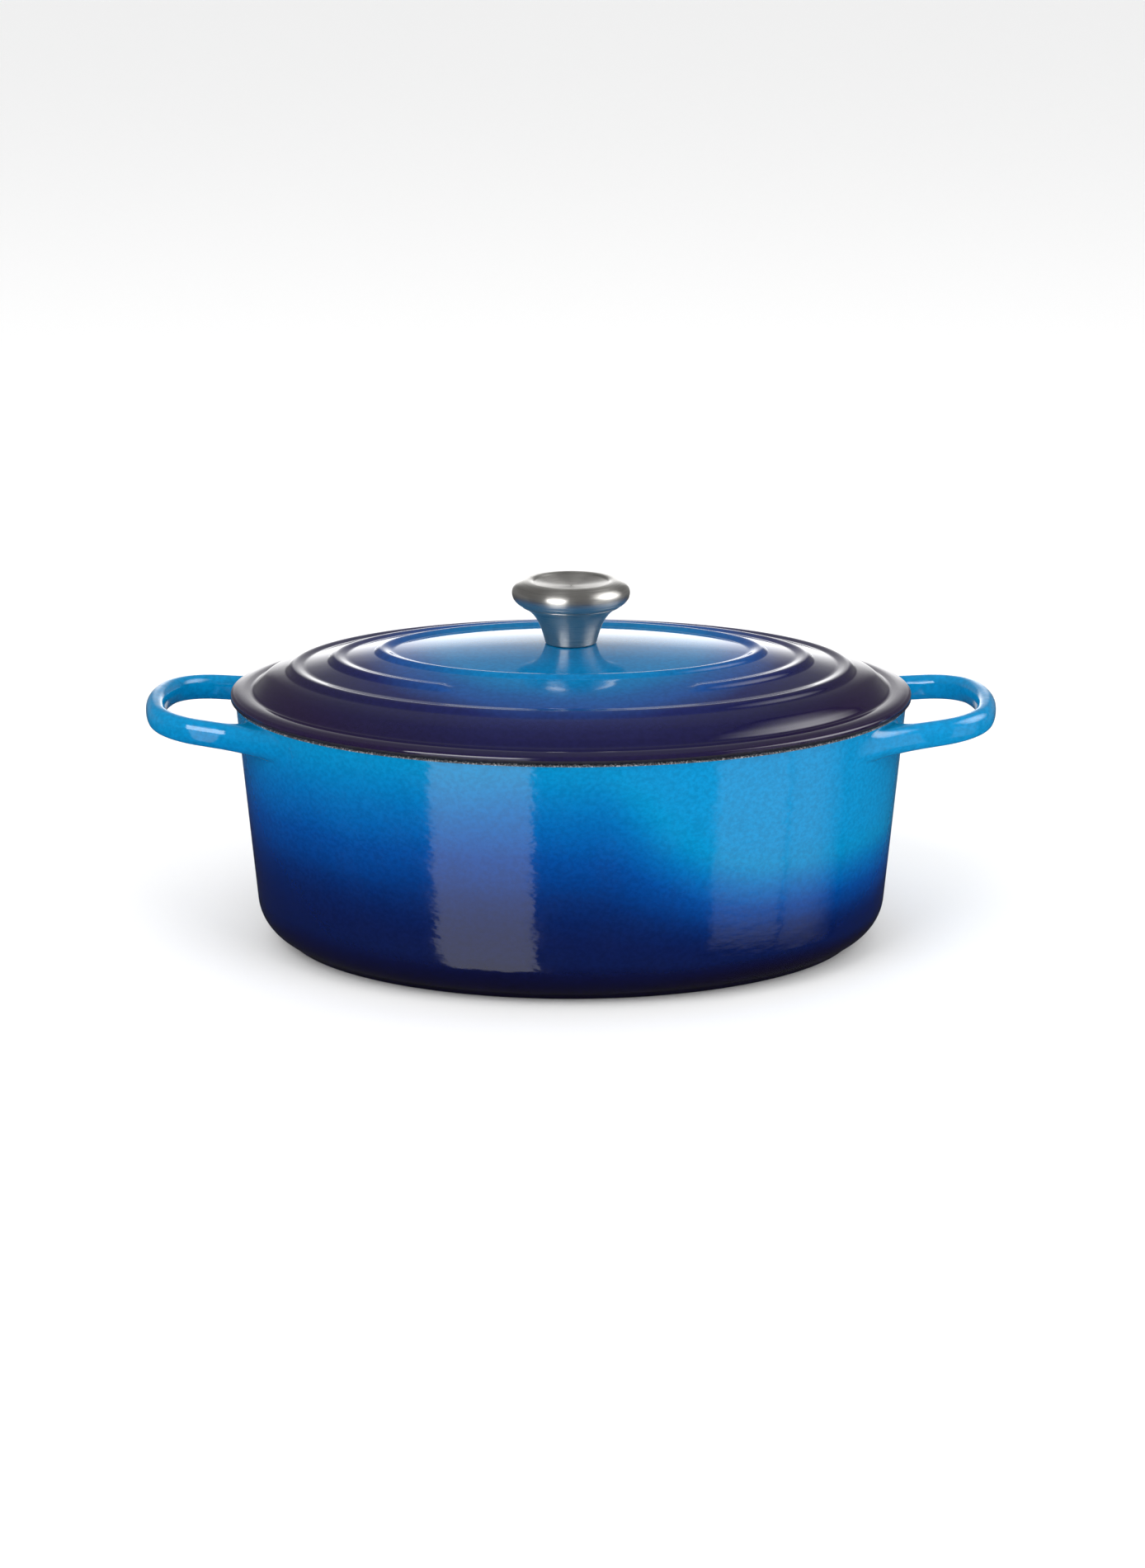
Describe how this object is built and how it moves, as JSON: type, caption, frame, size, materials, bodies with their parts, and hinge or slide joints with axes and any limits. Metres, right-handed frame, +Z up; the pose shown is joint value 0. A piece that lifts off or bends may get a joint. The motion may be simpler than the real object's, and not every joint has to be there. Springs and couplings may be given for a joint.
{
  "type": "oval cast iron dutch oven",
  "caption": "Oval enamelled cast iron cooking pot with loop handles at its ends and a ringed lid that lifts off by a stainless steel knob.",
  "frame": {"origin": "middle of the oval foot ring, on the plane that the pot stands on", "axes": "+X from the middle towards one loop handle, along the oval's length; +Y across the oval; +Z up, the way the lid lifts"},
  "size_m": [0.4122, 0.258, 0.1776],
  "materials": {
    "pot_enamel": "glossy vitreous enamel, bright blue at the rim fading to navy at the foot",
    "lid_enamel": "glossy vitreous enamel, bright blue at the middle fading to navy at the rim",
    "knob_steel": "circularly brushed stainless steel",
    "insert_steel": "turned steel",
    "screw_steel": "bright stainless steel"
  },
  "bodies": {
    "pot_body": {"pot": "pot_enamel"},
    "lid_body": {"lid": "lid_enamel", "knob_cap": "knob_steel", "knob_neck": "knob_steel", "knob_insert": "insert_steel", "knob_screw": "screw_steel", "flat_washer": "screw_steel", "spring_washer": "screw_steel"}
  },
  "joints": [
    {"name": "lid_lift", "type": "slide", "parent": "pot_body", "child": "lid_body", "axis": [0, 0, 1], "range_m": [0, 0.2]}
  ]
}
